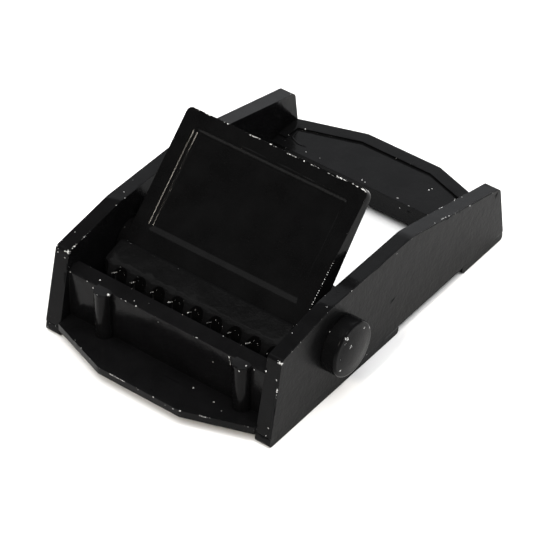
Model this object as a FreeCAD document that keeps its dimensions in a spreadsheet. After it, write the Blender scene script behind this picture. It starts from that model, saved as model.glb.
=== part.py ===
import FreeCAD, Part
import os
import math
import Sketcher

# Cam buckle for 25 mm webbing.  Millimetres, +Z up.
# X runs across the webbing (the rivet head is on the +X side), +Y runs from
# the front lip to the rear webbing bar, Z = 0 is the underside of the feet.
# The sketches use a working origin at the front lower corner of the side
# cheeks; every sub-part's Placement shifts it to the middle of the buckle.

V = FreeCAD.Vector
doc = FreeCAD.newDocument("CamBuckle")

# ---------------------------------------------------------------- sizes
sheet = doc.addObject("Spreadsheet::Sheet", "Sizes")
SIZES = [
    # side cheeks
    ("cheek_span", 30.66), ("cheek_gap", 27.0),
    ("front_top_y", 2.28), ("front_top_z", 10.80),
    ("kink_one_y", 10.97), ("kink_one_z", 12.17),
    ("kink_two_y", 25.53), ("kink_two_z", 12.23),
    ("rear_top_y", 43.08), ("rear_top_z", 7.95),
    ("rear_foot_y", 44.19),
    ("foot_front_end", 23.62), ("foot_rear_start", 35.96), ("foot_rise", 0.95),
    ("corner_round", 1.0), ("front_round", 0.6),
    # front floor and lip
    ("floor_z", 1.08), ("floor_thick", 0.95), ("floor_end", 23.7),
    ("lip_y", -2.75), ("lip_half", 5.58), ("lip_side_half", 13.5),
    ("slot_half", 12.9), ("slot_start", 3.8), ("slot_end", 8.6),
    # jaw wall and its two ejector bosses
    ("wall_front", 2.1), ("wall_rear", 3.8), ("wall_base", 1.5),
    ("wall_top_front", 8.15), ("wall_top_rear", 8.55),
    ("boss_left_x", -8.5), ("boss_right_x", 10.4), ("boss_y", 1.95),
    ("boss_radius", 1.1), ("boss_height", 6.62),
    # rear webbing bar
    ("bar_front", 38.5), ("bar_z", 1.0), ("bar_height", 2.7),
    ("bar_back", 46.27), ("bar_back_half", 5.14),
    ("bar_side_y", 43.5), ("bar_side_half", 13.5),
    ("rim_height", 0.26), ("rim_in_y", 44.65), ("rim_in_half", 4.88),
    ("rim_side_y", 41.79),
    ("overlap", 0.3),
    # pivot
    ("pivot_y", 12.31), ("pivot_z", 6.48),
    ("cheek_bore", 1.42), ("pin_radius", 1.40), ("lever_bore", 1.47),
    ("head_radius", 3.26), ("head_side", 1.55), ("head_height", 2.28),
    ("tail_radius", 2.3), ("tail_height", 0.9), ("tail_side", 0.35),
    # lever plate (45 degree face)
    ("plate_width", 24.6),
    ("plate_top_y", 21.75), ("plate_top_z", 19.60),
    ("plate_top_back_y", 22.28), ("plate_top_back_z", 19.07),
    ("plate_low_y", 10.10), ("plate_low_z", 7.95),
    ("plate_back_y", 15.60), ("plate_back_z", 11.30),
    ("plate_corner", 0.8),
    ("panel_depth", 0.25), ("panel_half_in", 10.35), ("panel_half_out", 10.95),
    # toothed nose and hub
    ("nose_width", 23.6),
    ("hub_radius", 4.0), ("hub_end_radius", 2.5), ("hub_end_span", 26.6),
    ("tooth_pitch", 2.62), ("notch_radius", 0.95), ("notch_y", 5.30),
    ("notch_low_z", 3.0), ("notch_depth", 8.0), ("notch_first_x", -11.79),
    ("tooth_count", 10),
    # spring pocket and torsion spring
    ("pocket_width", 6.4), ("pocket_radius", 2.18),
    ("wire_radius", 0.25), ("coil_radius", 1.78), ("coil_pitch", 0.62),
    ("coil_turns", 7.788), ("leg_up_length", 8.30), ("leg_down_length", 8.52),
]
for row, (alias, value) in enumerate(SIZES, start=1):
    sheet.set("A%d" % row, alias.replace("_", " "))
    sheet.set("B%d" % row, str(value))
    sheet.setAlias("B%d" % row, alias)
N = dict(SIZES)
# placement of the working origin in the finished part: the middle of the
# overall box in X and Y
row = len(SIZES) + 1
for alias, formula, value in [
    ("shift_x", "=-(head_height - tail_height) / 2",
     -(N["head_height"] - N["tail_height"]) / 2),
    ("shift_y", "=-(lip_y + bar_back) / 2", -(N["lip_y"] + N["bar_back"]) / 2),
]:
    sheet.set("A%d" % row, alias.replace("_", " "))
    sheet.set("B%d" % row, formula)
    sheet.setAlias("B%d" % row, alias)
    N[alias] = value
    row += 1
doc.recompute()


def num(e):
    """Value of a size expression such as '-lip_half + overlap'."""
    if isinstance(e, (int, float)):
        return float(e)
    total, sign, text = 0.0, 1.0, e.replace("-", " - ").replace("+", " + ")
    for word in text.split():
        if word == "-":
            sign = -sign
        elif word == "+":
            pass
        else:
            scale = 1.0
            if "/" in word:
                word, by = word.split("/")
                scale = 1.0 / float(by)
            total += sign * scale * (N[word] if word in N else float(word))
            sign = 1.0
    return total


def sized(e):
    """The same expression written for the property editor."""
    if isinstance(e, (int, float)):
        return None
    out = []
    for word in e.replace("-", " - ").replace("+", " + ").split():
        stem = word.split("/")[0]
        out.append(word.replace(stem, "Sizes." + stem) if stem in N else word)
    return " ".join(out)


def plane(body, role):
    for obj in body.Origin.OriginFeatures:
        if getattr(obj, "Role", "") == role:
            return obj
    raise RuntimeError(role)


def sketch(body, name, role, offset=None):
    sk = body.newObject("Sketcher::SketchObject", name)
    sk.AttachmentSupport = [(plane(body, role), "")]
    sk.MapMode = "FlatFace"
    if offset is not None:
        sk.AttachmentOffset = FreeCAD.Placement(V(0, 0, num(offset)), FreeCAD.Rotation())
        if sized(offset):
            sk.setExpression("AttachmentOffset.Base.z", sized(offset))
    return sk


def polygon(sk, pts):
    """Closed outline; each corner's two coordinates are sizes."""
    n = len(pts)
    xy = [V(num(a), num(b), 0) for a, b in pts]
    first = len(sk.Geometry)
    for i in range(n):
        sk.addGeometry(Part.LineSegment(xy[i], xy[(i + 1) % n]), False)
    for i in range(n):
        sk.addConstraint(Sketcher.Constraint(
            "Coincident", first + i, 2, first + (i + 1) % n, 1))
    for i, (a, b) in enumerate(pts):
        for kind, e in (("DistanceX", a), ("DistanceY", b)):
            c = sk.addConstraint(Sketcher.Constraint(
                kind, -1, 1, first + i, 1, num(e)))
            if sized(e):
                sk.setExpression("Constraints[%d]" % c, sized(e))


def circle(sk, x, y, radius):
    g = sk.addGeometry(Part.Circle(V(num(x), num(y), 0), V(0, 0, 1), num(radius)), False)
    for kind, e in (("DistanceX", x), ("DistanceY", y)):
        c = sk.addConstraint(Sketcher.Constraint(kind, -1, 1, g, 3, num(e)))
        if sized(e):
            sk.setExpression("Constraints[%d]" % c, sized(e))
    c = sk.addConstraint(Sketcher.Constraint("Radius", g, num(radius)))
    if sized(radius):
        sk.setExpression("Constraints[%d]" % c, sized(radius))
    return g


def feature(body, kind, name, sk, **props):
    f = body.newObject("PartDesign::" + kind, name)
    f.Profile = sk
    for key, val in props.items():
        if isinstance(val, str) and key == "Length":
            f.Length = num(val)
            f.setExpression("Length", sized(val))
        else:
            setattr(f, key, val)
    return f


def place(obj, y="", z=""):
    """Placement at the finished part's frame, with optional pivot offset."""
    obj.Placement = FreeCAD.Placement(
        V(N["shift_x"], N["shift_y"] + (num(y) if y else 0), num(z) if z else 0),
        FreeCAD.Rotation())
    obj.setExpression("Placement.Base.x", "Sizes.shift_x")
    obj.setExpression("Placement.Base.y", "Sizes.shift_y" + (" + Sizes." + y if y else ""))
    if z:
        obj.setExpression("Placement.Base.z", "Sizes." + z)


# ---------------------------------------------------------------- frame casting
frame = doc.addObject("PartDesign::Body", "frame_casting")
frame.Label = "frame_casting"

sk = sketch(frame, "cheek_outline", "YZ_Plane")
polygon(sk, [
    (0, 0), ("foot_front_end", 0), ("foot_front_end", "foot_rise"),
    ("foot_rear_start", "foot_rise"), ("foot_rear_start", 0),
    ("rear_foot_y", 0), ("rear_top_y", "rear_top_z"),
    ("kink_two_y", "kink_two_z"), ("kink_one_y", "kink_one_z"),
    ("front_top_y", "front_top_z")])
feature(frame, "Pad", "cheeks", sk, Length="cheek_span", Midplane=True)

sk = sketch(frame, "channel_outline", "XY_Plane")
polygon(sk, [("-cheek_gap/2", -5), ("cheek_gap/2", -5),
             ("cheek_gap/2", 50), ("-cheek_gap/2", 50)])
feature(frame, "Pocket", "channel", sk, Type="ThroughAll", Midplane=True)

sk = sketch(frame, "floor_outline", "XY_Plane", "floor_z")
polygon(sk, [
    ("-lip_half", "lip_y"), ("lip_half", "lip_y"), ("lip_side_half", 0),
    ("lip_side_half + overlap", 0.5), ("lip_side_half + overlap", "floor_end"),
    ("-lip_side_half - overlap", "floor_end"), ("-lip_side_half - overlap", 0.5),
    ("-lip_side_half", 0)])
feature(frame, "Pad", "floor_and_lip", sk, Length="floor_thick")

sk = sketch(frame, "slot_outline", "XY_Plane", "floor_z")
polygon(sk, [("-slot_half", "slot_start"), ("slot_half", "slot_start"),
             ("slot_half", "slot_end"), ("-slot_half", "slot_end")])
feature(frame, "Pocket", "strap_slot", sk, Type="ThroughAll", Midplane=True)

sk = sketch(frame, "wall_outline", "YZ_Plane")
polygon(sk, [("wall_front", "wall_base"), ("wall_rear", "wall_base"),
             ("wall_rear", "wall_top_rear"), ("wall_front", "wall_top_front")])
feature(frame, "Pad", "jaw_wall", sk, Length="cheek_gap + overlap", Midplane=True)

sk = sketch(frame, "boss_outline", "XY_Plane", "wall_base")
circle(sk, "boss_left_x", "boss_y", "boss_radius")
circle(sk, "boss_right_x", "boss_y", "boss_radius")
feature(frame, "Pad", "ejector_bosses", sk, Length="boss_height")

sk = sketch(frame, "bar_outline", "XY_Plane", "bar_z")
BAR_SIDE = "bar_side_half + overlap"
polygon(sk, [
    ("-bar_side_half - overlap", "bar_front"), (BAR_SIDE, "bar_front"),
    (BAR_SIDE, "bar_side_y - overlap"), ("bar_side_half", "bar_side_y"),
    ("bar_back_half", "bar_back"), ("-bar_back_half", "bar_back"),
    ("-bar_side_half", "bar_side_y"), ("-bar_side_half - overlap", "bar_side_y - overlap")])
feature(frame, "Pad", "webbing_bar", sk, Length="bar_height")

sk = sketch(frame, "rim_outline", "XY_Plane", "bar_z + bar_height")
polygon(sk, [
    ("-rim_in_half", "rim_in_y"), ("rim_in_half", "rim_in_y"),
    ("bar_side_half", "rim_side_y"), (BAR_SIDE, "rim_side_y"),
    (BAR_SIDE, "bar_side_y - overlap"), ("bar_side_half", "bar_side_y"),
    ("bar_back_half", "bar_back"), ("-bar_back_half", "bar_back"),
    ("-bar_side_half", "bar_side_y"), ("-bar_side_half - overlap", "bar_side_y - overlap"),
    ("-bar_side_half - overlap", "rim_side_y"), ("-bar_side_half", "rim_side_y")])
feature(frame, "Pad", "bar_rim", sk, Length="rim_height")

sk = sketch(frame, "cheek_bore_outline", "YZ_Plane")
circle(sk, "pivot_y", "pivot_z", "cheek_bore")
feature(frame, "Pocket", "cheek_bores", sk, Type="ThroughAll", Midplane=True)
doc.recompute()


def edges_at(shape, test):
    return ["Edge%d" % (i + 1) for i, e in enumerate(shape.Edges) if test(e)]


def cross_edge(y, z, tol=0.02):
    """Edge that runs along X through (y, z)."""
    def test(e):
        a, b = e.Vertexes[0].Point, e.Vertexes[-1].Point
        return (abs(a.y - y) < tol and abs(b.y - y) < tol and
                abs(a.z - z) < tol and abs(b.z - z) < tol)
    return test


tip = frame.Tip
f = frame.newObject("PartDesign::Fillet", "rear_corners")
f.Base = (tip, edges_at(tip.Shape, cross_edge(N["rear_top_y"], N["rear_top_z"])))
f.Radius = N["corner_round"]
f.setExpression("Radius", "Sizes.corner_round")
doc.recompute()
tip = f
f = frame.newObject("PartDesign::Fillet", "front_corners")
f.Base = (tip, edges_at(tip.Shape, cross_edge(N["front_top_y"], N["front_top_z"])))
f.Radius = N["front_round"]
f.setExpression("Radius", "Sizes.front_round")
doc.recompute()
place(frame)

# ---------------------------------------------------------------- cam lever
lever = doc.addObject("PartDesign::Body", "cam_lever")
lever.Label = "cam_lever"

# thumb plate, a wedge with its face at 45 degrees
sk = sketch(lever, "plate_outline", "YZ_Plane")
polygon(sk, [
    ("plate_top_y", "plate_top_z"), ("plate_low_y", "plate_low_z"),
    ("pivot_y", "pivot_z"), ("plate_back_y", "plate_back_z"),
    ("plate_top_back_y", "plate_top_back_z")])
feature(lever, "Pad", "thumb_plate", sk, Length="plate_width", Midplane=True)

# hub round the pin, then its two thrust ends
sk = sketch(lever, "hub_outline", "YZ_Plane")
circle(sk, "pivot_y", "pivot_z", "hub_radius")
feature(lever, "Pad", "hub", sk, Length="nose_width", Midplane=True)
doc.recompute()

# the hub is kept behind the plate's face
sk = sketch(lever, "face_trim_outline", "YZ_Plane")
polygon(sk, [
    ("plate_low_y", "plate_low_z"), ("plate_top_y", "plate_top_z"),
    ("plate_top_y - 6.0", "plate_top_z + 6.0"), ("plate_low_y - 6.0", "plate_low_z + 6.0")])
feature(lever, "Pocket", "face_trim", sk, Type="ThroughAll", Midplane=True)

sk = sketch(lever, "hub_end_outline", "YZ_Plane")
circle(sk, "pivot_y", "pivot_z", "hub_end_radius")
feature(lever, "Pad", "hub_ends", sk, Length="hub_end_span", Midplane=True)

# jaw nose that carries the teeth; its flat heel stops on the floor
sk = sketch(lever, "nose_outline", "YZ_Plane")
polygon(sk, [
    (10.10, 7.95), (9.30, 8.95), (8.70, 9.05), (7.50, 8.85), (6.60, 8.42),
    (5.95, 7.95), (5.45, 7.45), (5.25, 6.85), (5.30, 6.10), (5.60, 5.30),
    (6.30, 4.40), (7.30, 3.45), (8.75, 2.08), (10.10, 2.08), (11.60, 2.60), ("pivot_y", "pivot_z")])
feature(lever, "Pad", "jaw_nose", sk, Length="nose_width", Midplane=True)

# notches between the teeth
sk = sketch(lever, "notch_outline", "XY_Plane", "notch_low_z")
circle(sk, "notch_first_x", "notch_y", "notch_radius")
notch = feature(lever, "Pocket", "notch", sk, Length="notch_depth", Reversed=True)
doc.recompute()
rowp = lever.newObject("PartDesign::LinearPattern", "tooth_row")
rowp.Originals = [notch]
rowp.Direction = (sk, ["H_Axis"])
rowp.Length = N["tooth_pitch"] * (N["tooth_count"] - 1)
rowp.setExpression("Length", "Sizes.tooth_pitch * (Sizes.tooth_count - 1)")
rowp.Occurrences = int(N["tooth_count"])
lever.Tip = rowp
doc.recompute()

# bore for the rivet shank
sk = sketch(lever, "lever_bore_outline", "YZ_Plane")
circle(sk, "pivot_y", "pivot_z", "lever_bore")
feature(lever, "Pocket", "lever_bore_cut", sk, Type="ThroughAll", Midplane=True)

# pocket for the spring: round the coil, open to the back and underneath
sk = sketch(lever, "coil_pocket_outline", "YZ_Plane")
circle(sk, "pivot_y", "pivot_z", "pocket_radius")
feature(lever, "Pocket", "coil_pocket", sk, Length="pocket_width", Midplane=True)
sk = sketch(lever, "leg_pocket_outline", "YZ_Plane")
polygon(sk, [
    ("pivot_y - pocket_radius", "pivot_z"), ("pivot_y - pocket_radius", 0),
    (26.0, 0), (26.0, 19.0), (15.95, 10.85), (14.55, 9.15), (13.90, 7.90)])
feature(lever, "Pocket", "leg_pocket", sk, Length="pocket_width", Midplane=True)
doc.recompute()

# outline groove of the panel on the plate's face, cut square to the face
sk = lever.newObject("Sketcher::SketchObject", "panel_outline")
sk.AttachmentSupport = [(plane(lever, "XY_Plane"), "")]
sk.MapMode = "FlatFace"
sk.AttachmentOffset = FreeCAD.Placement(
    V(0, N["plate_low_y"], N["plate_low_z"]), FreeCAD.Rotation(V(1, 0, 0), 45))
sk.setExpression("AttachmentOffset.Base.y", "Sizes.plate_low_y")
sk.setExpression("AttachmentOffset.Base.z", "Sizes.plate_low_z")
polygon(sk, [("-panel_half_out", 1.80), ("panel_half_out", 1.80),
             ("panel_half_out", 15.15), ("-panel_half_out", 15.15)])
polygon(sk, [("-panel_half_in", 2.40), ("panel_half_in", 2.40),
             ("panel_half_in", 14.55), ("-panel_half_in", 14.55)])
feature(lever, "Pocket", "panel_groove", sk, Length="panel_depth")
doc.recompute()
place(lever)

# ---------------------------------------------------------------- rivet
rivet = doc.addObject("PartDesign::Body", "pivot_rivet")
rivet.Label = "pivot_rivet"
sk = sketch(rivet, "rivet_outline", "XY_Plane")
SEAT = "cheek_span/2"
polygon(sk, [
    ("-cheek_span/2 - tail_height", 0), ("cheek_span/2 + head_height", 0),
    ("cheek_span/2 + head_height - 0.05", 0.9), ("cheek_span/2 + head_height - 0.18", 1.8),
    ("cheek_span/2 + head_height - 0.36", 2.5), ("cheek_span/2 + head_height - 0.55", 2.95),
    ("cheek_span/2 + head_side", "head_radius"), (SEAT, "head_radius"),
    (SEAT, "pin_radius"), ("-cheek_span/2", "pin_radius"),
    ("-cheek_span/2", "tail_radius"), ("-cheek_span/2 - tail_side", "tail_radius"),
    ("-cheek_span/2 - tail_height + 0.22", 1.5), ("-cheek_span/2 - tail_height + 0.05", 0.75)])
rev = rivet.newObject("PartDesign::Revolution", "turned_rivet")
rev.Profile = sk
rev.ReferenceAxis = (sk, ["H_Axis"])
rev.Angle = 360
doc.recompute()
place(rivet, "pivot_y", "pivot_z")

# ---------------------------------------------------------------- torsion spring
# Coil round the shank with one leg up under the thumb plate and one leg down
# on the floor.  Angles are measured from +Y in the YZ plane.
UP_TAN = math.radians(-26.6)      # where the upper leg leaves the coil
DOWN_TAN = math.radians(49.6)     # where the lower leg leaves the coil
turns = N["coil_turns"]
rc, rw, pitch = N["coil_radius"], N["wire_radius"], N["coil_pitch"]
half = pitch * turns / 2.0


def ring(x, ang):
    return V(x, rc * math.cos(ang), rc * math.sin(ang))


# the helix is wound about X, starting where the lower leg joins it
helix = Part.makeHelix(pitch, 2 * half, rc)
helix.rotate(V(0, 0, 0), V(1, 1, 1), 120)
helix.rotate(V(0, 0, 0), V(1, 0, 0), math.degrees(DOWN_TAN))
helix.translate(V(-half, 0, 0))
end_angle = DOWN_TAN + 2 * math.pi * turns
slope = V(pitch / (2 * math.pi * rc), 0, 0)
start, finish = ring(-half, DOWN_TAN), ring(half, end_angle)
start_dir = (V(0, math.sin(DOWN_TAN), -math.cos(DOWN_TAN)) - slope).normalize()
end_dir = (V(0, -math.sin(end_angle), math.cos(end_angle)) + slope).normalize()
section = Part.Wire(Part.makeCircle(rw, start, start_dir))
coil = Part.Wire(helix.Edges).makePipeShell([section], True, True)
flat = [f for f in coil.Faces if f.Surface.TypeId == "Part::GeomPlane"]
skin = [f for f in coil.Faces if f.Surface.TypeId != "Part::GeomPlane"]
for cap in flat:
    at_start = cap.CenterOfMass.distanceToPoint(start) < cap.CenterOfMass.distanceToPoint(finish)
    run = (start_dir * N["leg_down_length"]) if at_start else (end_dir * N["leg_up_length"])
    leg = cap.extrude(run)
    skin += [f for f in leg.Faces if f.CenterOfMass.distanceToPoint(cap.CenterOfMass) > 0.01]
sewn = Part.makeShell(skin)
sewn.sewShape()
wound = Part.makeSolid(sewn)
if wound.Volume < 0:
    wound.reverse()
spring = doc.addObject("Part::Feature", "torsion_spring")
spring.Label = "torsion_spring"
spring.Shape = wound
place(spring, "pivot_y", "pivot_z")
doc.recompute()

# ---------------------------------------------------------------- checks, export
nodes = [frame, lever, rivet, spring]
for obj in doc.Objects:
    bad = [s for s in obj.State if s in ("Invalid", "Error")]
    if bad:
        raise RuntimeError("%s: %s" % (obj.Name, bad))
os.makedirs("parts", exist_ok=True)
for node in nodes:
    shape = node.Shape
    if shape.isNull() or not shape.isValid() or not shape.Solids:
        raise RuntimeError("bad shape: " + node.Label)
    box = shape.BoundBox
    print("%-16s solids %d volume %8.2f  box %.2f %.2f %.2f  %.2f %.2f %.2f" % (
        node.Label, len(shape.Solids), shape.Volume,
        box.XMin, box.YMin, box.ZMin, box.XMax, box.YMax, box.ZMax))
    shape.exportStep("parts/%s.step" % node.Label)
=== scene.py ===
from math import cos, degrees, exp, pi, radians, sin, sqrt, tan

import bmesh
import random
import bpy
from mathutils import Matrix, Vector
from mathutils.bvhtree import BVHTree
from mathutils.kdtree import KDTree
from mathutils import noise as mnoise


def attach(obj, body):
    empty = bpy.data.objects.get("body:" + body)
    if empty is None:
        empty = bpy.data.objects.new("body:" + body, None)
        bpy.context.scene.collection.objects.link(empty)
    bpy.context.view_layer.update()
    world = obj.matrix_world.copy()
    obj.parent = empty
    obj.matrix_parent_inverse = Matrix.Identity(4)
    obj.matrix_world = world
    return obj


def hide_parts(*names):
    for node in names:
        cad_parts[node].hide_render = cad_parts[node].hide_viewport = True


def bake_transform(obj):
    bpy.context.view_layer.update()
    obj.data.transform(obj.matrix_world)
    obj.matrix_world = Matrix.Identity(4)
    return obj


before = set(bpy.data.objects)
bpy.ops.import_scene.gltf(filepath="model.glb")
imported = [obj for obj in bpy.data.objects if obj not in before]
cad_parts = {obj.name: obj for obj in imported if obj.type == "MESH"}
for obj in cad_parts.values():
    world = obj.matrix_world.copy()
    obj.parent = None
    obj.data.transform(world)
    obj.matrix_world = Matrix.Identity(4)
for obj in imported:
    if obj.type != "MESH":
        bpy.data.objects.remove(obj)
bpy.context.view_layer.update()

# Working coordinates are millimetres from the front lower corner of the
# cheeks; W() takes them to the row frame in metres.
SX, SY = -0.69, -21.76
TO_ROW = Matrix.Scale(0.001, 4) @ Matrix.Translation((SX, SY, 0.0))


def W(x, y, z):
    return Vector(((x + SX) / 1000.0, (y + SY) / 1000.0, z / 1000.0))


PY, PZ = 12.31, 6.48            # pivot

# Placed bare-metal marks, mostly losses of coating, on the lever also painted highlights: x, y, z, radius, and for a
# streak its far end.
FRAME_CHIPS = [
    (14.95, 2.25, 10.55, 0.17, 15.3, 2.3, 10.52), (14.97, 1.78, 8.43, 0.11),
    (15.31, 1.61, 7.62, 0.11, 15.32, 1.35, 6.39), (14.95, 0.52, 2.48, 0.1),
    (14.86, 0.3, 1.44, 0.08), (15.35, 3.98, 11, 0.08), (15.35, 5.02, 10.96, 0.07),
    (15.19, 8.01, 11.7, 0.07), (14.76, 10.86, 12.14, 0.08), (15.33, 14.54, 12.16, 0.07),
    (15.34, 22.77, 11.81, 0.09), (15.33, 25.56, 12.07, 0.07), (15.07, 30.35, 11.05, 0.07),
    (15.18, 32.94, 10.42, 0.09), (15.19, 34.71, 9.99, 0.08), (15.38, 36.83, 9.44, 0.07),
    (15.4, 41.47, 8.34, 0.08), (15.43, 21.46, 6.77, 0.07),
    (13.52, 31.2, 10.82, 0.07), (13.52, 33.4, 10.28, 0.06, 13.52, 34.0, 10.14),
    (9.63, 42.74, 3.7, 0.08), (13.65, 37.8, 9.24, 0.07),
    (-13.50, 2.37, 10.79, 0.14), (-13.50, 2.88, 10.92, 0.10), (-13.50, 3.18, 10.97, 0.13), (-13.50, 3.44, 11.08, 0.15),
    (-13.50, 3.63, 11.13, 0.12), (-13.50, 4.52, 11.24, 0.11), (-13.50, 4.78, 11.29, 0.14), (-13.50, 5.08, 11.34, 0.09),
    (15.06, 31.55, 10.76, 0.06, 15.1, 32.48, 10.54), (13.52, 36.4, 9.55, 0.06),
    (13.52, 39.6, 8.76, 0.07), (-15.26, 2.34, 10.68, 0.13), (-15.05, 2.3, 10.5, 0.09),
    (-14.97, 2.13, 10.11, 0.1), (-13.69, 2.32, 10.65, 0.19), (-14.05, 2.3, 10.6, 0.12),
    (-13.94, 2.08, 9.84, 0.07),
    (-13.98, 1.91, 9.07, 0.07), (-13.5, 2.16, 8.73, 0.07), (-13.34, 2.1, 8.14, 0.07),
    (-15.28, 3.21, 10.95, 0.06), (-14.83, 4.87, 11.21, 0.04), (-14.24, 12.57, 12.18, 0.06),
    (-13.5, 11.84, 12.17, 0.06), (-14.79, 14.8, 12.19, 0.04), (-10.93, 2.1, 8.13, 0.08),
    (-9.77, 2.9, 8.34, 0.09), (-10.11, 2.1, 7.56, 0.1, -8.53, 0.91, 8.22),
    (-7.6, 1.63, 8.22, 0.19), (-4.74, 2.56, 8.26, 0.06), (-3.16, 3.16, 8.4, 0.06),
    (-4.13, 2.14, 8.16, 0.08), (-1.08, 2.1, 7.56, 0.06),
    (8.52, 2.1, 7.85, 0.08, 8.79, 2.1, 6.58), (10.77, 0.92, 7.97, 0.12),
    (11.04, 1.76, 8.22, 0.09), (11.84, 2.1, 7.86, 0.08), (13.59, 1.87, 8.86, 0.08),
    (-5.43, -2.75, 1.97, 0.07), (-3.9, -2.75, 1.96, 0.09, -1.81, -2.75, 1.96),
    (-7.15, -2.2, 1.93, 0.06), (2.04, -2.75, 1.97, 0.1), (3.68, -2.75, 1.74, 0.08),
    (4.77, -2.75, 1.79, 0.1), (5.69, -2.71, 2, 0.12), (7.81, -1.98, 1.95, 0.1, 8.87, -1.61, 2),
    (4.57, 0.92, 2.03, 0.09), (7.69, 0.57, 2.03, 0.09), (9.14, -0.07, 2.03, 0.08),
    (6.37, 2.1, 5.94, 0.06), (6.63, 1.93, 2.03, 0.04), (12.87, -0.22, 1.97, 0.06),
    (-10.34, -0.93, 2.03, 0.06), (-8.99, -1.52, 2.03, 0.06), (-0.02, -2.75, 1.81, 0.06),
    (-11.55, 42.45, 3.96, 0.09), (-9.05, 39.29, 3.7, 0.08), (-0.85, 39.08, 3.7, 0.08),
    (-0.36, 39, 3.7, 0.07), (4.33, 38.95, 3.7, 0.12), (6.16, 38.55, 3.7, 0.07),
    (6.29, 42.33, 3.7, 0.09), (6.46, 42.69, 3.7, 0.08), (-0.01, 44.65, 3.86, 0.07),
    (-7.09, 39.39, 3.7, 0.06), (1.98, 44.65, 3.94, 0.06), (13.82, 6, 11.39, 0.06),
]
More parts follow.
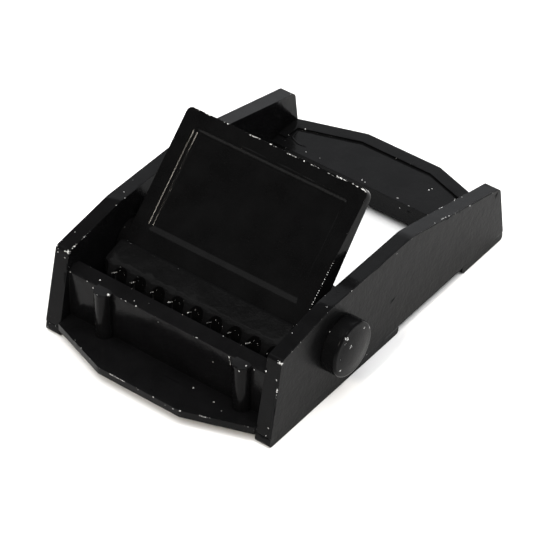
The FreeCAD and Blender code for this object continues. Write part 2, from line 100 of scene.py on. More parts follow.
# the lever's marks: real chips on the plate, then painted highlights on the notch rims and down the lower right edge
LEVER_CHIPS_AND_HIGHLIGHTS = [
    (10.89, 5.6, 7.24, 0.11), (-9.95, 21.74, 19.59, 0.09, -9.38, 21.73, 19.58),
    (-6.89, 21.74, 19.59, 0.09), (-3.81, 21.67, 19.52, 0.08, -2.49, 21.72, 19.57),
    (-1.11, 21.71, 19.56, 0.06, -0.29, 21.7, 19.55),
    (1.24, 21.64, 19.49, 0.065, 2.84, 21.66, 19.51), (3.52, 21.65, 19.5, 0.09),
    (4.47, 21.64, 19.49, 0.05, 5.52, 21.66, 19.51),
    (6.76, 21.61, 19.46, 0.058, 7.56, 21.6, 19.45),
    (7.91, 21.67, 19.52, 0.086, 9.48, 21.68, 19.53),
    (10.02, 21.68, 19.53, 0.058, 10.71, 21.64, 19.49),
    (11.21, 21.66, 19.51, 0.072, 11.82, 21.56, 19.41), (-10.95, 8.63, 9.02, 0.07),
    (-10.57, 9.03, 8.95, 0.07), (11.18, 8.16, 8.99, 0.07),
    (-11.6, 21.78, 19.49, 0.12, -10.9, 21.82, 19.53),
    (-7.5, 21.78, 19.49, 0.1, -6.6, 21.8, 19.51),
    # painted highlights: bare-metal spots along the lit rims of the notches between the teeth, in place of light
    # caught by the rounded rims
    (-10.22, 5.48, 7.39, 0.06), (-10.1, 5.53, 7.45, 0.08), (-10.05, 5.65, 7.42, 0.1),
    (-9.99, 5.77, 7.4, 0.08), (-9.92, 5.87, 7.41, 0.06), (-9.65, 6.12, 7.6, 0.04),
    (-9.54, 6.17, 7.69, 0.05), (-9.2, 6.25, 7.38, 0.04), (-9.14, 6.25, 7.15, 0.04),
    (-7.63, 5.45, 7.34, 0.06), (-7.52, 5.49, 7.4, 0.08), (-7.45, 5.6, 7.39, 0.1),
    (-7.4, 5.72, 7.37, 0.08), (-7.33, 5.84, 7.36, 0.06), (-7.08, 6.09, 7.54, 0.04),
    (-6.97, 6.15, 7.63, 0.05), (-6.64, 6.24, 7.3, 0.04), (-6.58, 6.25, 7.07, 0.04),
    (-5.01, 5.44, 7.33, 0.06), (-4.89, 5.49, 7.39, 0.08), (-4.83, 5.6, 7.38, 0.1),
    (-4.77, 5.73, 7.35, 0.08), (-4.71, 5.84, 7.35, 0.06), (-4.46, 6.09, 7.53, 0.04),
    (-4.35, 6.15, 7.62, 0.05), (-4.03, 6.24, 7.28, 0.04), (-3.97, 6.25, 7.05, 0.04),
    (-2.44, 5.42, 7.29, 0.06), (-2.32, 5.46, 7.36, 0.08), (-2.23, 5.54, 7.38, 0.1),
    (-2.18, 5.67, 7.34, 0.08), (-2.12, 5.79, 7.34, 0.06), (-1.88, 6.05, 7.5, 0.04),
    (-1.78, 6.12, 7.58, 0.05), (-1.48, 6.23, 7.22, 0.04), (-1.42, 6.24, 6.99, 0.04),
    (0.19, 5.4, 7.26, 0.06), (0.31, 5.44, 7.33, 0.08), (0.39, 5.53, 7.34, 0.1),
    (0.43, 5.67, 7.29, 0.08), (0.49, 5.78, 7.29, 0.06), (0.73, 6.05, 7.45, 0.04),
    (0.83, 6.12, 7.52, 0.05), (1.13, 6.23, 7.16, 0.04), (1.19, 6.24, 6.94, 0.04),
    (2.93, 5.42, 7.3, 0.06), (3.01, 5.52, 7.3, 0.08), (3.05, 5.65, 7.26, 0.1),
    (3.11, 5.77, 7.24, 0.08), (3.18, 5.87, 7.25, 0.06), (3.44, 6.11, 7.44, 0.04),
    (3.55, 6.17, 7.53, 0.05), (3.88, 6.24, 7.21, 0.04), (3.94, 6.25, 6.99, 0.04),
    (5.57, 5.41, 7.27, 0.06), (5.63, 5.52, 7.24, 0.08), (5.67, 5.66, 7.2, 0.1),
    (5.73, 5.78, 7.18, 0.08), (5.8, 5.88, 7.19, 0.06), (6.06, 6.11, 7.38, 0.04),
    (6.17, 6.17, 7.47, 0.05), (6.5, 6.25, 7.16, 0.04), (6.57, 6.25, 6.93, 0.04),
    (8.21, 5.41, 7.26, 0.06), (8.25, 5.54, 7.22, 0.08), (8.3, 5.67, 7.18, 0.1),
    (8.36, 5.79, 7.16, 0.08), (8.43, 5.89, 7.17, 0.06), (8.69, 6.12, 7.36, 0.04),
    (8.8, 6.17, 7.45, 0.05), (9.13, 6.25, 7.14, 0.04), (9.2, 6.25, 6.92, 0.04),
    (10.91, 5.65, 7.12, 0.06),
    # painted highlight: a thin bright line of bare-metal spots down the lower right edge of the plate, in place of
    # light caught by the rounded edge
    (11.96, 15.84, 13.69, 0.046), (11.96, 15.65, 13.5, 0.046), (11.96, 15.46, 13.31, 0.046),
    (11.95, 15.27, 13.12, 0.046), (11.95, 15.07, 12.92, 0.046), (11.94, 14.88, 12.73, 0.057),
    (11.94, 14.69, 12.54, 0.057), (11.94, 14.5, 12.35, 0.057), (11.93, 14.3, 12.15, 0.057),
    (11.93, 14.11, 11.96, 0.057), (11.92, 13.92, 11.77, 0.069), (11.92, 13.73, 11.58, 0.069),
    (11.92, 13.53, 11.38, 0.069), (11.91, 13.34, 11.19, 0.069), (11.91, 13.15, 11, 0.069),
    (11.9, 12.96, 10.81, 0.069), (11.9, 12.76, 10.61, 0.069), (11.9, 12.57, 10.42, 0.081),
    (11.89, 12.38, 10.23, 0.081), (11.89, 12.18, 10.03, 0.081), (11.88, 11.99, 9.84, 0.069),
    (11.88, 11.8, 9.65, 0.069),
]
RIVET_CHIPS = [
    (17.28, 10.80, 9.11, 0.15), (17.43, 11.12, 8.90, 0.22), (17.28, 10.71, 8.43, 0.17),
    (17.53, 11.58, 7.59, 0.16), (17.53, 11.44, 7.50, 0.13), (17.33, 10.54, 7.86, 0.11),
    (17.33, 9.89, 6.83, 0.09), (17.43, 9.88, 5.22, 0.14), (17.43, 14.12, 8.39, 0.14),
    (17.33, 15.21, 7.61, 0.15), (17.28, 15.69, 6.74, 0.13), (17.23, 16.05, 6.14, 0.12),
    (17.23, 9.74, 7.59, 0.08), (17.23, 9.88, 7.88, 0.07), (15.45, 10.56, 9.21, 0.08),
]
ROOT = bpy.context.scene.collection


# ------------------------------------------------------------------ mesh tools
def new_object(name, bm):
    me = bpy.data.meshes.new(name)
    bm.to_mesh(me)
    bm.free()
    ob = bpy.data.objects.new(name, me)
    ROOT.objects.link(ob)
    return ob


def prism(pts, axis, a, b, name="prism"):
    """Closed outline swept along an axis from a to b."""
    bm = bmesh.new()
    put = {"x": lambda p, t: (t, p[0], p[1]), "z": lambda p, t: (p[0], p[1], t)}[axis]
    lo = [bm.verts.new(put(p, a)) for p in pts]
    hi = [bm.verts.new(put(p, b)) for p in pts]
    n = len(pts)
    bm.faces.new(lo[::-1])
    bm.faces.new(hi)
    for i in range(n):
        bm.faces.new((lo[i], lo[(i + 1) % n], hi[(i + 1) % n], hi[i]))
    bmesh.ops.recalc_face_normals(bm, faces=bm.faces)
    return new_object(name, bm)


def rod(cx, cy, r, axis, a, b, seg=48, r2=None):
    """Round bar along x (cx, cy are y, z) or z (cx, cy are x, y)."""
    bm = bmesh.new()
    put = {"x": lambda u, v, t: (t, u, v), "z": lambda u, v, t: (u, v, t)}[axis]
    rings = []
    for t, rr in ((a, r), (b, r if r2 is None else r2)):
        rings.append([bm.verts.new(put(cx + rr * cos(2 * pi * i / seg),
                                       cy + rr * sin(2 * pi * i / seg), t))
                      for i in range(seg)])
    bm.faces.new(rings[0][::-1])
    bm.faces.new(rings[1])
    for i in range(seg):
        j = (i + 1) % seg
        bm.faces.new((rings[0][i], rings[0][j], rings[1][j], rings[1][i]))
    bmesh.ops.recalc_face_normals(bm, faces=bm.faces)
    return new_object("rod", bm)


def arc(cx, cy, r, a0, a1, n):
    return [(cx + r * cos(radians(a0 + (a1 - a0) * i / n)),
             cy + r * sin(radians(a0 + (a1 - a0) * i / n))) for i in range(n + 1)]


def rounded(pts, radii, n=6):
    """Outline with its corners rounded; radii per corner."""
    out = []
    m = len(pts)
    for i, p in enumerate(pts):
        r = radii[i] if isinstance(radii, (list, tuple)) else radii
        p = Vector(p)
        a = (Vector(pts[i - 1]) - p)
        b = (Vector(pts[(i + 1) % m]) - p)
        if r <= 0:
            out.append(tuple(p))
            continue
        la, lb = a.length, b.length
        a.normalize()
        b.normalize()
        ang = a.angle(b)
        cut = min(r / tan(ang / 2), la * 0.48, lb * 0.48)
        r = cut * tan(ang / 2)
        c = p + (a + b).normalized() * (r / sin(ang / 2))
        s, e = p + a * cut, p + b * cut
        vs, ve = s - c, e - c
        total = vs.angle_signed(ve)
        for k in range(n + 1):
            t = -total * k / n
            out.append((c.x + vs.x * cos(t) - vs.y * sin(t),
                        c.y + vs.x * sin(t) + vs.y * cos(t)))
    return out


def evaluated(ob):
    dg = bpy.context.evaluated_depsgraph_get()
    me = bpy.data.meshes.new_from_object(ob.evaluated_get(dg))
    old = ob.data
    ob.modifiers.clear()
    ob.data = me
    bpy.data.meshes.remove(old)
    return ob


def boolean(base, others, op="UNION"):
    for o in others:
        m = base.modifiers.new("b", "BOOLEAN")
        m.operation = op
        m.solver = "EXACT"
        m.use_self = False
        m.object = o
        evaluated(base)
        bpy.data.objects.remove(o)
    return base


def tidy(ob, angle=0.6):
    bm = bmesh.new()
    bm.from_mesh(ob.data)
    bmesh.ops.remove_doubles(bm, verts=bm.verts, dist=0.002)
    bmesh.ops.dissolve_degenerate(bm, dist=0.001, edges=bm.edges)
    bmesh.ops.dissolve_limit(bm, angle_limit=radians(angle), verts=bm.verts,
                             edges=bm.edges)
    bmesh.ops.recalc_face_normals(bm, faces=bm.faces)
    bm.to_mesh(ob.data)
    bm.free()
    return ob


def bevel(ob, widths, segments=4, default=0.2, angle=25.0, clamp=True):
    """Rounds the sharp edges; widths is a list of (test(a, b), width)."""
    bm = bmesh.new()
    bm.from_mesh(ob.data)
    bm.edges.ensure_lookup_table()
    lay = bm.edges.layers.float.get("bevel_weight_edge") or \
        bm.edges.layers.float.new("bevel_weight_edge")
    top = max([w for _, w in widths] + [default])
    for e in bm.edges:
        if len(e.link_faces) != 2 or e.calc_face_angle(0.0) < radians(angle):
            e[lay] = 0.0
            continue
        a, b = e.verts[0].co, e.verts[1].co
        w = default
        for test, width in widths:
            if test(a, b):
                w = width
                break
        e[lay] = w / top
    bm.to_mesh(ob.data)
    bm.free()
    m = ob.modifiers.new("bevel", "BEVEL")
    m.limit_method = "WEIGHT"
    m.width = top
    m.segments = segments
    m.profile = 0.5
    m.use_clamp_overlap = clamp
    m.material = 1
    m.miter_outer = "MITER_ARC"
    ob.data.materials.append(None)
    ob.data.materials.append(None)
    return evaluated(ob)


def densify(ob, longest, chips=(), rounds=14):
    """Even triangles, finer around the chips and painted highlights, so that
    wear and painted highlights can be stored on the points."""
    kd = KDTree(max(1, len(chips)))
    for i, c in enumerate(chips):
        kd.insert(c[0], i)
    kd.balance()
    bm = bmesh.new()
    bm.from_mesh(ob.data)
    bmesh.ops.triangulate(bm, faces=bm.faces, quad_method="BEAUTY", ngon_method="EAR_CLIP")
    done = set()
    for _ in range(rounds):
        long = []
        for e in bm.edges:
            n = e.calc_length()
            if n < 0.075:
                continue
            if n > longest:
                long.append(e)
                continue
            if not chips:
                continue
            mid = (e.verts[0].co + e.verts[1].co) / 2
            _, k, d = kd.find(mid)
            gap = d - chips[k][1] * 1.3 - n / 2
            want = max(0.08, 0.45 * chips[k][1]) if gap < 0.03 else 0.30 + 1.5 * gap
            if n > want * 1.25:
                long.append(e)
        if not long:
            break
        bmesh.ops.subdivide_edges(bm, edges=long, cuts=1, use_grid_fill=False)
        bmesh.ops.triangulate(bm, faces=[f for f in bm.faces if len(f.verts) > 3],
                              quad_method="SHORT_EDGE", ngon_method="EAR_CLIP")
    bm.to_mesh(ob.data)
    bm.free()
    return ob


def sharp_samples(ob, angle=25.0, step=0.15, convex=True):
    """Points along the outward edges, before they are rounded."""
    bm = bmesh.new()
    bm.from_mesh(ob.data)
    pts = []
    for e in bm.edges:
        if len(e.link_faces) != 2:
            continue
        s = e.calc_face_angle_signed(0.0)
        if abs(s) < radians(angle) or (s < 0) == convex:
            continue
        a, b = e.verts[0].co.copy(), e.verts[1].co.copy()
        n = max(1, int((b - a).length / step))
        pts += [a.lerp(b, k / n) for k in range(n + 1)]
    bm.free()
    return pts


RAGGED = random.Random(41)


def spread(chips):
    """Chips and painted highlights are (x, y, z, radius) or (x, y, z, radius,
    x2, y2, z2) for a streak; streaks become rows of points."""
    out = []
    for c in chips:
        a = Vector(c[:3])
        if len(c) == 4:
            out.append((a, c[3]))
            continue
        b = Vector(c[4:7])
        run = (b - a).length
        n = max(1, int(run / (c[3] * 0.8)))
        for k in range(n + 1):
            r = c[3]
            if run > 0.75:
                # a long streak is broken and uneven, widest near one end
                r *= (1.05 - 0.6 * k / n) * RAGGED.uniform(0.45, 1.15)
                if RAGGED.random() < 0.28:
                    continue
            out.append((a.lerp(b, k / n), max(r, 0.035)))
    return out


def wear(ob, edge_pts, chips):
    """Point attributes: edge, nearness to an outward edge, and the placed-mark
    attribute, nearness to placed losses of coating and to painted highlights;
    both run from 0 to 1."""
    me = ob.data
    kd = KDTree(max(1, len(edge_pts)))
    for i, p in enumerate(edge_pts):
        kd.insert(p, i)
    kd.balance()
    kc = KDTree(max(1, len(chips)))
    for i, c in enumerate(chips):
        kc.insert(c[0], i)
    kc.balance()
    edge = me.attributes.new("edge", "FLOAT", "POINT")
    # placed chips and, on the lever, painted highlights
    chip_and_highlight = me.attributes.new("chip_and_highlight", "FLOAT", "POINT")
    for v in me.vertices:
        if edge_pts:
            edge.data[v.index].value = max(0.0, 1.0 - kd.find(v.co)[2] / 0.45)
        k = 0.0
        for _, i, q in kc.find_range(v.co, 1.2):
            if chips:
                k = max(k, 1.0 - q / (chips[i][1] * 1.9))
        chip_and_highlight.data[v.index].value = k
    return ob


def finish_mesh(ob, name, body, mats, node=None, shade=True):
    me = ob.data
    me.transform(TO_ROW)
    me.materials.clear()
    for m in mats:
        me.materials.append(m)
    for p in me.polygons:
        p.material_index = 0
        p.use_smooth = shade
    ob.name = name
    me.name = name
    m = ob.modifiers.new("normals", "WEIGHTED_NORMAL")
    m.weight = 100
    m.keep_sharp = False
    m.mode = "FACE_AREA_WITH_ANGLE"
    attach(ob, body)
    if node:
        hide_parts(node)
    return ob


# ------------------------------------------------------------------ materials
def nodes_of(name):
    m = bpy.data.materials.new(name)
    m.use_nodes = True
    nt = m.node_tree
    nt.nodes.clear()
    out = nt.nodes.new("ShaderNodeOutputMaterial")
    bs = nt.nodes.new("ShaderNodeBsdfPrincipled")
    nt.links.new(bs.outputs[0], out.inputs[0])
    return m, nt, bs


def coat_material(name, base, rough, spec, chip_level=0.5, seed=0.0, speck=0.5,
                  pit=0.5, grain=1.0, outer=None):
    """Black coat on a zinc casting: fine orange peel, cast waviness, wear that
    bares the metal at the edges, and small specks."""
    m, nt, bs = nodes_of(name)
    N, L = nt.nodes.new, nt.links.new
    tc = N("ShaderNodeTexCoord")
    mp = N("ShaderNodeMapping")
    mp.inputs["Location"].default_value = (seed, seed * 0.7, -seed)
    mp.inputs["Scale"].default_value = (1000, 1000, 1000)     # millimetres
    L(tc.outputs["Object"], mp.inputs[0])
    P = mp.outputs[0]

    def noise(scale, detail=3.0, rough_=0.55, dist=0.0):
        n = N("ShaderNodeTexNoise")
        n.inputs["Scale"].default_value = scale
        n.inputs["Detail"].default_value = detail
        n.inputs["Roughness"].default_value = rough_
        n.inputs["Distortion"].default_value = dist
        L(P, n.inputs["Vector"])
        return n.outputs["Fac"]

    def math(op, a, b=0.0, c=0.0, clamp=False):
        n = N("ShaderNodeMath")
        n.operation = op
        n.use_clamp = clamp
        for i, v in enumerate((a, b, c)):
            if isinstance(v, (int, float)):
                n.inputs[i].default_value = v
            else:
                L(v, n.inputs[i])
        return n.outputs[0]

    def ramp(v, lo, hi, a=0.0, b=1.0):
        n = N("ShaderNodeMapRange")
        n.inputs["From Min"].default_value = lo
        n.inputs["From Max"].default_value = hi
        n.inputs["To Min"].default_value = a
        n.inputs["To Max"].default_value = b
        L(v, n.inputs["Value"])
        return n.outputs[0]

    def mix(f, a, b):
        n = N("ShaderNodeMix")
        n.data_type = "RGBA"
        L(f, n.inputs["Factor"])
        for s, v in ((n.inputs["A"], a), (n.inputs["B"], b)):
            if isinstance(v, (tuple, list)):
                s.default_value = v
            else:
                L(v, s)
        return n.outputs["Result"]

    at_edge = N("ShaderNodeAttribute")
    at_edge.attribute_name = "edge"
    # nearness to the placed chips and to the painted highlights, stored on the points
    at_chip_and_highlight = N("ShaderNodeAttribute")
    at_chip_and_highlight.attribute_name = "chip_and_highlight"
    E, K = at_edge.outputs["Fac"], at_chip_and_highlight.outputs["Fac"]

    fine = noise(7.0, 4.0, 0.6)
    # placed losses of coating, and the lever's painted highlights, with ragged outlines
    near = math("MULTIPLY", K, 4.0, clamp=True)
    rag = math("MULTIPLY", math("MULTIPLY", math("SUBTRACT", fine, 0.53), 2.6), near)
    placed_chips_and_highlights = ramp(math("ADD", K, rag), 0.50, 0.62)
    # small nicks, only right on an outward edge
    nick = ramp(math("ADD", math("MULTIPLY", E, 0.30), noise(2.6, 5.0, 0.68, 0.3)),
                0.945 - 0.02 * chip_level, 0.965 - 0.02 * chip_level)
    vor = N("ShaderNodeTexVoronoi")
    vor.inputs["Scale"].default_value = 0.42
    vor.inputs["Randomness"].default_value = 1.0
    L(P, vor.inputs["Vector"])
    vr = N("ShaderNodeSeparateColor")
    L(vor.outputs["Color"], vr.inputs[0])
    dot = math("MULTIPLY", math("LESS_THAN", vor.outputs["Distance"], 0.030),
               math("LESS_THAN", vr.outputs[0], 0.30 * speck))
    bare = math("MAXIMUM", placed_chips_and_highlights, math("MAXIMUM", nick, dot), clamp=True)

    tone = ramp(noise(0.35, 3.0), 0.3, 0.7, 0.80, 1.20)
    mul = N("ShaderNodeVectorMath")
    mul.operation = "SCALE"
    mul.inputs[0].default_value = base
    L(tone, mul.inputs["Scale"])
    dust = ramp(noise(5.5, 6.0, 0.7), 0.60, 0.80, 0.0, 0.30)
    col = mix(dust, mul.outputs[0], (0.020, 0.020, 0.021, 1))
    metal = mix(ramp(noise(4.5, 4.0, 0.65), 0.36, 0.58), (0.10, 0.10, 0.098, 1), (0.86, 0.86, 0.85, 1))
    L(mix(bare, col, metal), bs.inputs["Base Color"])
    L(math("MULTIPLY", bare, 0.20), bs.inputs["Metallic"])
    r_coat = math("ADD", ramp(noise(0.8, 4.0, 0.6), 0.3, 0.7, rough * 0.80, rough * 1.25),
                  math("MULTIPLY", ramp(noise(14.0, 2.0), 0.50, 0.75), 0.07))
    sandy = 0.0
    if outer:
        # past this distance from the middle plane the coat is coarse and matt
        xyz = N("ShaderNodeSeparateXYZ")
        L(tc.outputs["Object"], xyz.inputs[0])
        side = math("ABSOLUTE", math("SUBTRACT", math("MULTIPLY", xyz.outputs[0], 1000.0),
                                     outer[0]))
        sandy = math("GREATER_THAN", side, outer[1])
        r_coat = math("ADD", r_coat, math("MULTIPLY", sandy, outer[2]))
    n = N("ShaderNodeMix")
    n.data_type = "FLOAT"
    L(bare, n.inputs["Factor"])
    L(r_coat, n.inputs["A"])
    n.inputs["B"].default_value = 0.45
    L(n.outputs["Result"], bs.inputs["Roughness"])
    bs.inputs["Specular IOR Level"].default_value = spec
    # relief: cast waviness, orange peel, fine grain, pits, and the step down
    # into a chip
    last = None
    for height, strength, dist, inv in (
            (math("MULTIPLY", noise(1.9, 3.0, 0.62), sandy), 0.8 if outer else 0.0, 0.00003, False),
            (noise(0.55, 2.0, 0.4), 0.40 * grain, 0.00007, False),
            (noise(2.3, 2.0, 0.5), 0.45 * grain, 0.000016, False),
            (noise(6.0, 3.0, 0.6), 0.60 * grain, 0.000010, False),
            (ramp(noise(2.6, 5.0, 0.65), 0.66, 0.76, 0.0, -1.0), 0.4 * pit, 0.00003, False),
            (bare, 0.7, 0.00003, True)):
        b = N("ShaderNodeBump")
        b.inputs["Strength"].default_value = strength
        b.inputs["Distance"].default_value = dist
        b.invert = inv
        L(height, b.inputs["Height"])
        if last is not None:
            L(last, b.inputs["Normal"])
        last = b.outputs[0]
    L(last, bs.inputs["Normal"])
    return m


def steel_material(name):
    m, nt, bs = nodes_of(name)
    N, L = nt.nodes.new, nt.links.new
    tc = N("ShaderNodeTexCoord")
    mp = N("ShaderNodeMapping")
    mp.inputs["Scale"].default_value = (1000, 1000, 1000)
    L(tc.outputs["Object"], mp.inputs[0])
    n1 = N("ShaderNodeTexNoise")
    n1.inputs["Scale"].default_value = 3.0
    n1.inputs["Detail"].default_value = 4.0
    L(mp.outputs[0], n1.inputs["Vector"])
    cr = N("ShaderNodeValToRGB")
    cr.color_ramp.elements[0].color = (0.20, 0.20, 0.205, 1)
    cr.color_ramp.elements[0].position = 0.3
    cr.color_ramp.elements[1].color = (0.46, 0.46, 0.47, 1)
    cr.color_ramp.elements[1].position = 0.7
    L(n1.outputs["Fac"], cr.inputs[0])
    L(cr.outputs[0], bs.inputs["Base Color"])
    bs.inputs["Metallic"].default_value = 1.0
    mr = N("ShaderNodeMapRange")
    mr.inputs["To Min"].default_value = 0.22
    mr.inputs["To Max"].default_value = 0.42
    L(n1.outputs["Fac"], mr.inputs["Value"])
    L(mr.outputs[0], bs.inputs["Roughness"])
    bp = N("ShaderNodeBump")
    bp.inputs["Strength"].default_value = 0.25
    bp.inputs["Distance"].default_value = 0.00001
    L(n1.outputs["Fac"], bp.inputs["Height"])
    L(bp.outputs[0], bs.inputs["Normal"])
    return m


frame_mat = coat_material("frame_coat_black", (0.0034, 0.0034, 0.0036), 0.11, 0.055, seed=3.0,
                          outer=(-0.69, 15.2, 0.20))
lever_mat = coat_material("lever_coat_black", (0.0028, 0.0028, 0.0029), 0.10, 0.09, seed=11.0,
                          speck=0.0)
rivet_mat = coat_material("rivet_coat_black", (0.0036, 0.0036, 0.0038), 0.17, 0.040, seed=23.0,
                          speck=0.4)
spring_mat = steel_material("spring_wire")

# ------------------------------------------------------------------ frame casting
CHEEK_IN, CHEEK_OUT = 13.5, 15.33


def cheek(side):
    a, b = sorted((side * CHEEK_IN, side * CHEEK_OUT))
    upper = [(0.22, 1.06), (44.04, 1.06), (43.08, 7.95), (25.53, 12.23),
             (10.97, 12.17), (2.28, 10.80)]
    upper = rounded(upper, [0.25, 0.25, 0.8, 5.0, 5.0, 0.6], 7)
    return prism(upper, "x", a, b, "cheek")


def rail(side, y0, y1, front, rear):
    a, b = sorted((side * CHEEK_IN, side * (CHEEK_OUT - 0.08)))
    pts = rounded([(y0, 0.0), (y1, 0.0), (rear, 1.2), (front, 1.2)],
                  [0.6 if y0 < 1 else 0.45, 0.45 if y1 < 30 else 0.6, 0, 0], 5)
    return prism(pts, "x", a, b, "rail")


casting = cheek(1)
parts = [cheek(-1)]
for s in (1, -1):
    parts.append(rail(s, 0.02, 23.62, 0.24, 23.55))
    parts.append(rail(s, 35.96, 44.17, 36.03, 44.02))
# floor with the lip
parts.append(prism([(-5.58, -2.75), (5.58, -2.75), (13.5, 0.0), (13.7, 0.6), (13.7, 23.7),
                    (-13.7, 23.7), (-13.7, 0.6), (-13.5, 0.0)], "z", 1.08, 2.03, "floor"))
# jaw wall and bosses
parts.append(prism([(2.10, 1.4), (3.80, 1.4), (3.80, 8.55), (2.10, 8.15)], "x",
                   -13.7, 13.7, "wall"))
for bx in (-8.5, 10.4):
    parts.append(rod(bx, 1.95, 1.10, "z", 1.5, 8.22, 40))
# rear bar and its rim
parts.append(prism([(-13.7, 38.5), (13.7, 38.5), (13.7, 43.3), (13.5, 43.5), (5.14, 46.27),
                    (-5.14, 46.27), (-13.5, 43.5), (-13.7, 43.3)], "z", 1.0, 3.70, "bar"))
parts.append(prism([(-4.88, 44.65), (4.88, 44.65), (12.4, 42.15), (12.4, 39.9), (13.7, 39.9),
                    (13.7, 43.3), (13.5, 43.5), (5.14, 46.27), (-5.14, 46.27), (-13.5, 43.5),
                    (-13.7, 43.3), (-13.7, 39.9), (-12.4, 39.9), (-12.4, 42.15)],
                   "z", 3.4, 3.96, "rim"))
boolean(casting, parts)
slot = prism([(-12.9, 3.80), (12.9, 3.80), (12.9, 8.60), (-12.9, 8.60)], "z", 0.2, 3.0, "slot")
boolean(casting, [slot], "DIFFERENCE")
tidy(casting)
# the outer faces lean out towards the bottom
for v in casting.data.vertices:
    if abs(v.co.x) > 15.0:
        v.co.x += (1 if v.co.x > 0 else -1) * 0.24 * (1.0 - min(v.co.z, 12.0) / 12.0)


def near(v, t, tol=0.04):
    return abs(v - t) < tol


def runs_x(a, b):
    return abs(a.x - b.x) > 0.5 and near(a.y, b.y) and near(a.z, b.z)


def both(a, b, f):
    return f(a) and f(b)


EDGES = [
    # outside lower edges of the rails
    (lambda a, b: both(a, b, lambda v: v.z < 0.7 and abs(v.x) > 15.1), 0.55),
    (lambda a, b: both(a, b, lambda v: v.z < 0.7 and abs(v.x) < 13.6), 0.25),
    # parting ledge
    (lambda a, b: both(a, b, lambda v: 0.9 < v.z < 1.3 and abs(v.x) > 15.1), 0.06),
    # vertical corners between wall and cheeks, wall and floor
    (lambda a, b: both(a, b, lambda v: near(v.y, 2.1) and near(abs(v.x), 13.5)), 0.75),
    (lambda a, b: both(a, b, lambda v: near(v.y, 2.1) and near(v.z, 2.03)), 0.45),
    (lambda a, b: both(a, b, lambda v: near(v.y, 2.1) and near(v.z, 8.15)), 0.28),
    (lambda a, b: both(a, b, lambda v: near(v.y, 3.8) and near(v.z, 8.55)), 0.22),
    # front lip edge
    (lambda a, b: both(a, b, lambda v: v.y < 0.3 and near(v.z, 2.03)), 0.32),
    (lambda a, b: both(a, b, lambda v: v.y < 0.3 and near(v.z, 1.08)), 0.22),
    # rim and bar
    (lambda a, b: both(a, b, lambda v: v.y > 38 and near(v.z, 3.96)), 0.16),
    (lambda a, b: both(a, b, lambda v: v.y > 38 and near(v.z, 3.70)), 0.14),
]
edge_pts = sharp_samples(casting)
bevel(casting, EDGES, 4, 0.2)
CASTING_CHIPS = spread(FRAME_CHIPS)
densify(casting, 5.0, CASTING_CHIPS)
wear(casting, edge_pts, CASTING_CHIPS)
finish_mesh(casting, "frame_casting_visual", "frame", [frame_mat],
            "frame_casting")

# raised line that closes the broad face of the rear bar at each end


def ridge(path, half, height, z):
    bm = bmesh.new()
    rows = []
    for i, p in enumerate(path):
        a, b = Vector(path[max(0, i - 1)]), Vector(path[min(len(path) - 1, i + 1)])
        t = (b - a).normalized()
        nrm = Vector((-t.y, t.x))
        taper = min(1.0, 0.35 + 0.65 * min(i, len(path) - 1 - i))
        row = []
        for u_, v_ in ((-1.0, 0.0), (-0.6, 0.62), (0.0, 1.0), (0.6, 0.62), (1.0, 0.0), (0.0, -0.8)):
            q = Vector(p) + nrm * (u_ * half * taper)
            row.append(bm.verts.new((q.x, q.y, z + v_ * height * taper)))
        rows.append(row)
    for A, B in zip(rows, rows[1:]):
        for k in range(6):
            m = (k + 1) % 6
            bm.faces.new((A[k], A[m], B[m], B[k]))
    bm.faces.new(rows[0][::-1])
    bm.faces.new(rows[-1])
    bmesh.ops.recalc_face_normals(bm, faces=bm.faces)
    return new_object("ridge", bm)


LINE = [(-12.33, 42.35), (-12.19, 41.73), (-12.14, 41.1), (-12.02, 40.6), (-11.80, 40.40),
        (-11.55, 40.29), (-11.1, 40.10), (-10.72, 39.98), (-10.30, 39.98), (-9.6, 40.02)]
for name, flip in (("bar_line_left", 1), ("bar_line_right", -1)):
    line = ridge([(flip * x, y) for x, y in LINE], 0.15, 0.055, 3.70)
    wear(line, [], [])
    finish_mesh(line, name, "frame", [frame_mat])

# ------------------------------------------------------------------ cam lever
FACE = 45.0


def on_face(x, s, n=0.0):
    """Point on the plate: s along its face from the lower border, n outwards."""
    k = sqrt(0.5)
    return (x, 11.60 + s * k - n * k, 9.45 + s * k + n * k)


# plate: a wedge whose corners are rounded in plan, with a shallow recessed
# panel whose walls follow an S-shaped slope
PANEL = dict(half=(-10.62, 10.62), s=(0.0, 12.75), depth=0.26, width=0.85)


def panel_ring(off, depth):
    x0, x1 = PANEL["half"]
    s0, s1 = PANEL["s"]
    pts = rounded([(x0 + off, s0 + off), (x1 - off, s0 + off), (x1 - off, s1 - off),
                   (x0 + off, s1 - off)], max(0.08, 0.75 - off), 5)
    return [on_face(x, t, -depth) for x, t in pts]


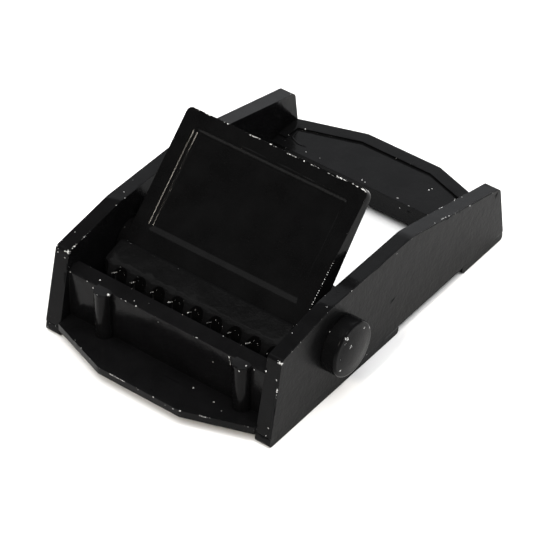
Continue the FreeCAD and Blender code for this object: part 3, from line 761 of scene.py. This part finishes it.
def plate():
    bm = bmesh.new()
    top, low = 14.35, -2.10
    plan = rounded([(-12.3, low), (12.3, low), (12.3, 7.0), (12.3, top), (-12.3, top)],
                   [0, 0, 0, 0.9, 0.7], 6)
    # the right side has draft: the face is narrower than the back
    front = [bm.verts.new(on_face(x - max(0.0, x - 11.4) / 0.9 * 0.22
                                  * (0.75 + (top - s) * 0.085), s)) for x, s in plan]
    back = [bm.verts.new(on_face(x, s, -(0.75 + (top - s) * 0.085))) for x, s in plan]
    n = len(plan)
    bm.faces.new(back[::-1])
    for i in range(n):
        j = (i + 1) % n
        bm.faces.new((front[j], front[i], back[i], back[j]))
    rings = []
    steps = 9
    for k in range(steps + 1):
        t = k / steps
        rings.append([bm.verts.new(p) for p in
                      panel_ring(t * PANEL["width"],
                                 PANEL["depth"] * (0.5 - 0.5 * cos(pi * t)))])
    m = len(rings[0])
    for A, B in zip(rings, rings[1:]):
        for i in range(m):
            j = (i + 1) % m
            bm.faces.new((A[i], A[j], B[j], B[i]))
    bm.faces.new(rings[-1])
    bm.edges.ensure_lookup_table()
    loop = [e for e in bm.edges if all(v in set(front) for v in e.verts)]
    loop += [e for e in bm.edges if all(v in set(rings[0]) for v in e.verts)]
    bmesh.ops.triangle_fill(bm, use_beauty=True, use_dissolve=False, edges=loop,
                            normal=(0, -0.7071, 0.7071))
    bmesh.ops.recalc_face_normals(bm, faces=bm.faces)
    return new_object("plate", bm)


lever = plate()
hub_face = prism(arc(PY, PZ, 4.0, 52, -128, 36) + [on_face(0, -1.2, -0.2)[1:],
                                                   on_face(0, 2.2, -0.6)[1:]],
                 "x", -11.8, 11.8, "hub")
nose_pts = [(10.10, 7.80), (10.02, 8.02), (9.75, 8.45), (9.40, 8.84), (9.00, 9.03),
            (6.55, 8.34), (6.05, 8.02), (5.70, 7.68), (5.42, 7.30),
            (5.27, 6.90), (5.25, 6.45), (5.36, 5.90), (5.60, 5.30), (6.30, 4.40),
            (7.30, 3.45), (8.75, 2.10), (10.10, 2.10), (11.60, 2.60), (PY, PZ)]
nose = prism(nose_pts, "x", -11.8, 11.8, "nose")
ends = rod(PY, PZ, 2.5, "x", -13.3, 13.3, 48)
boolean(lever, [hub_face, nose, ends])
cutters = []
for i in range(10):
    cutters.append(rod(-11.79 + 2.62 * i, 5.30, 0.95, "z", 2.9, 9.6, 32))
for c in cutters:
    boolean(lever, [c], "DIFFERENCE")
boolean(lever, [rod(PY, PZ, 1.47, "x", -14.5, 14.5, 48)], "DIFFERENCE")
boolean(lever, [prism(arc(PY, PZ, 2.18, -180, 180, 48)[:-1], "x", -3.2, 3.2, "pocket")],
        "DIFFERENCE")
boolean(lever, [prism([(10.13, 6.48), (10.13, 0.5), (24.0, 0.5), (24.0, 19.0 - 2.0),
                       (15.95, 10.85), (14.55, 9.15), (13.90, 7.90)], "x", -3.2, 3.2, "legs")],
        "DIFFERENCE")
tidy(lever)

LEVER_EDGES = [
    # lower half of the long front edge at the right: a softer corner
    (lambda a, b: both(a, b, lambda v: v.x > 11.8 and v.z - v.y > -2.3 and v.z < 14.7), 0.24),
    # the plate's margins
    (lambda a, b: both(a, b, lambda v: v.z - v.y > -2.3 and v.z > 8.6), 0.16),
    (lambda a, b: both(a, b, lambda v: v.z > 12.0), 0.22),
    # teeth
    (lambda a, b: both(a, b, lambda v: v.y < 6.9 and v.z > 3.0), 0.10),
]
edge_pts = sharp_samples(lever)
bevel(lever, LEVER_EDGES, 3, 0.10)

# the lever's marks are real chips and painted highlights
PLATE_CHIPS_AND_HIGHLIGHTS = spread(LEVER_CHIPS_AND_HIGHLIGHTS)
densify(lever, 5.0, PLATE_CHIPS_AND_HIGHLIGHTS)
wear(lever, edge_pts, PLATE_CHIPS_AND_HIGHLIGHTS)
finish_mesh(lever, "cam_lever_visual", "lever", [lever_mat], "cam_lever")

# ------------------------------------------------------------------ rivet


def lathe_x(profile, seg=96, name="lathe"):
    bm = bmesh.new()
    rings = []
    for x, r in profile:
        if r < 1e-6:
            rings.append([bm.verts.new((x, PY, PZ))])
        else:
            rings.append([bm.verts.new((x, PY + r * cos(2 * pi * i / seg),
                                        PZ + r * sin(2 * pi * i / seg))) for i in range(seg)])
    for A, B in zip(rings, rings[1:]):
        for i in range(seg):
            j = (i + 1) % seg
            if len(A) == 1 and len(B) == 1:
                continue
            if len(A) == 1:
                bm.faces.new((A[0], B[i], B[j]))
            elif len(B) == 1:
                bm.faces.new((A[i], A[j], B[0]))
            else:
                bm.faces.new((A[i], A[j], B[j], B[i]))
    bmesh.ops.recalc_face_normals(bm, faces=bm.faces)
    return new_object(name, bm)


HX = 15.33
head = [(HX, 1.40), (HX, 3.20), (HX + 0.05, 3.30), (HX + 0.30, 3.33), (HX + 0.8, 3.34),
        (HX + 1.3, 3.34), (HX + 1.68, 3.335)]
for k in range(1, 9):
    a = radians(90 * k / 8)
    head.append((HX + 1.68 + 0.34 * sin(a), 3.335 - 0.34 * (1 - cos(a))))
head += [(HX + 2.07, 2.60), (HX + 2.14, 2.15), (HX + 2.20, 1.65), (HX + 2.24, 1.1),
         (HX + 2.27, 0.55), (HX + 2.28, 0.0)]
tail = [(-HX - 0.90, 0.0), (-HX - 0.89, 0.4), (-HX - 0.85, 0.8), (-HX - 0.78, 1.2),
        (-HX - 0.67, 1.6), (-HX - 0.52, 1.95), (-HX - 0.34, 2.18), (-HX - 0.15, 2.29),
        (-HX, 2.30), (-HX, 1.40)]
rivet = lathe_x(tail + [(-9.0, 1.40), (0.0, 1.40), (9.0, 1.40)] + head, 96, "rivet")
BUTTON_CHIPS = spread(RIVET_CHIPS)
densify(rivet, 3.0, BUTTON_CHIPS)
RIM = [Vector((HX + 1.95, PY + 3.22 * cos(radians(a)), PZ + 3.22 * sin(radians(a))))
       for a in range(0, 360, 3)]
wear(rivet, RIM, BUTTON_CHIPS)
finish_mesh(rivet, "pivot_rivet_visual", "frame", [rivet_mat], "pivot_rivet")

# ------------------------------------------------------------------ spring (CAD solid)
# The coil winds up between the frame's leg at -X and the lever's leg at +X.
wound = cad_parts["torsion_spring"].data.copy()
wound.name = "torsion_spring_visual"
wound.materials.clear()
wound.materials.append(spring_mat)
for p in wound.polygons:
    p.material_index = 0
    p.use_smooth = True
spring = bpy.data.objects.new("torsion_spring_visual", wound)
ROOT.objects.link(spring)
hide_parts("torsion_spring")
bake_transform(spring)

# ------------------------------------------------------------------ stage
floor_me = bpy.data.meshes.new("floor")
floor_me.from_pydata([(-3, -3, 0), (3, -3, 0), (3, 3, 0), (-3, 3, 0)], [], [(0, 1, 2, 3)])
floor = bpy.data.objects.new("floor", floor_me)
ROOT.objects.link(floor)
fm, fnt, fbs = nodes_of("floor_white")
fbs.inputs["Base Color"].default_value = (0.86, 0.86, 0.86, 1)
fbs.inputs["Roughness"].default_value = 0.9
fbs.inputs["Specular IOR Level"].default_value = 0.1
floor_me.materials.append(fm)

world = bpy.data.worlds.new("studio")
world.use_nodes = True
bg = world.node_tree.nodes["Background"]
bg.inputs["Color"].default_value = (1, 1, 1, 1)
bg.inputs["Strength"].default_value = 0.07
bpy.context.scene.world = world


def softbox(name, loc, size, radiance, color=(1, 1, 1), glossy=True):
    """Rectangular light facing the buckle; radiance sets its brightness."""
    d = bpy.data.lights.new(name, "AREA")
    d.shape = "RECTANGLE"
    d.size, d.size_y = size
    d.energy = radiance * pi * size[0] * size[1]
    d.color = color
    o = bpy.data.objects.new(name, d)
    o.location = loc
    o.rotation_euler = (-Vector(loc)).to_track_quat("-Z", "Y").to_euler()
    o.visible_glossy = glossy
    ROOT.objects.link(o)
    return o


def away(az_, el_, dist):
    """Place at an azimuth (0 = +x, 90 = +y) and height angle."""
    a, e = radians(az_), radians(el_)
    return (dist * cos(a) * cos(e), dist * sin(a) * cos(e), dist * sin(e))


softbox("tent", (0.0, 0.0, 1.0), (2.1, 2.1), 2.6, glossy=False)
softbox("back_left", away(123.0, 28.0, 0.9), (0.75, 0.60), 1.50, (0.95, 0.97, 1.0))
softbox("ceiling", away(196.0, 64.0, 0.9), (0.45, 0.45), 0.95)
softbox("front", away(-85.0, 43.0, 0.9), (0.062, 0.12), 130.0, (1.0, 0.92, 0.80))
softbox("top_right", away(10.0, 62.0, 0.9), (0.14, 0.14), 26.0)

# ------------------------------------------------------------------ camera
scene = bpy.context.scene
scene.view_settings.view_transform = "Standard"
scene.view_settings.look = "None"
cam_data = bpy.data.cameras.new("camera")
cam_data.sensor_width = 36.0
cam_data.lens = 36.0 * 2988.914 / 550.0
cam_data.clip_start = 0.01
cam = bpy.data.objects.new("camera", cam_data)
ROOT.objects.link(cam)
az, el, roll = radians(36.696), radians(40.557), radians(0.781)
S = 0.90172
back = Vector((sin(az) * cos(el), -cos(az) * cos(el), sin(el)))
right = Vector((cos(az), sin(az), 0.0))
up = back.cross(right)
r = cos(roll) * right + sin(roll) * up
u = -sin(roll) * right + cos(roll) * up
target = W(2.815 * S, 20.0 * S, 5.879 * S)
cam.matrix_world = Matrix.Translation(target + back * (364.516 * S / 1000.0)) @ \
    Matrix((r, u, back)).transposed().to_4x4()
scene.camera = cam
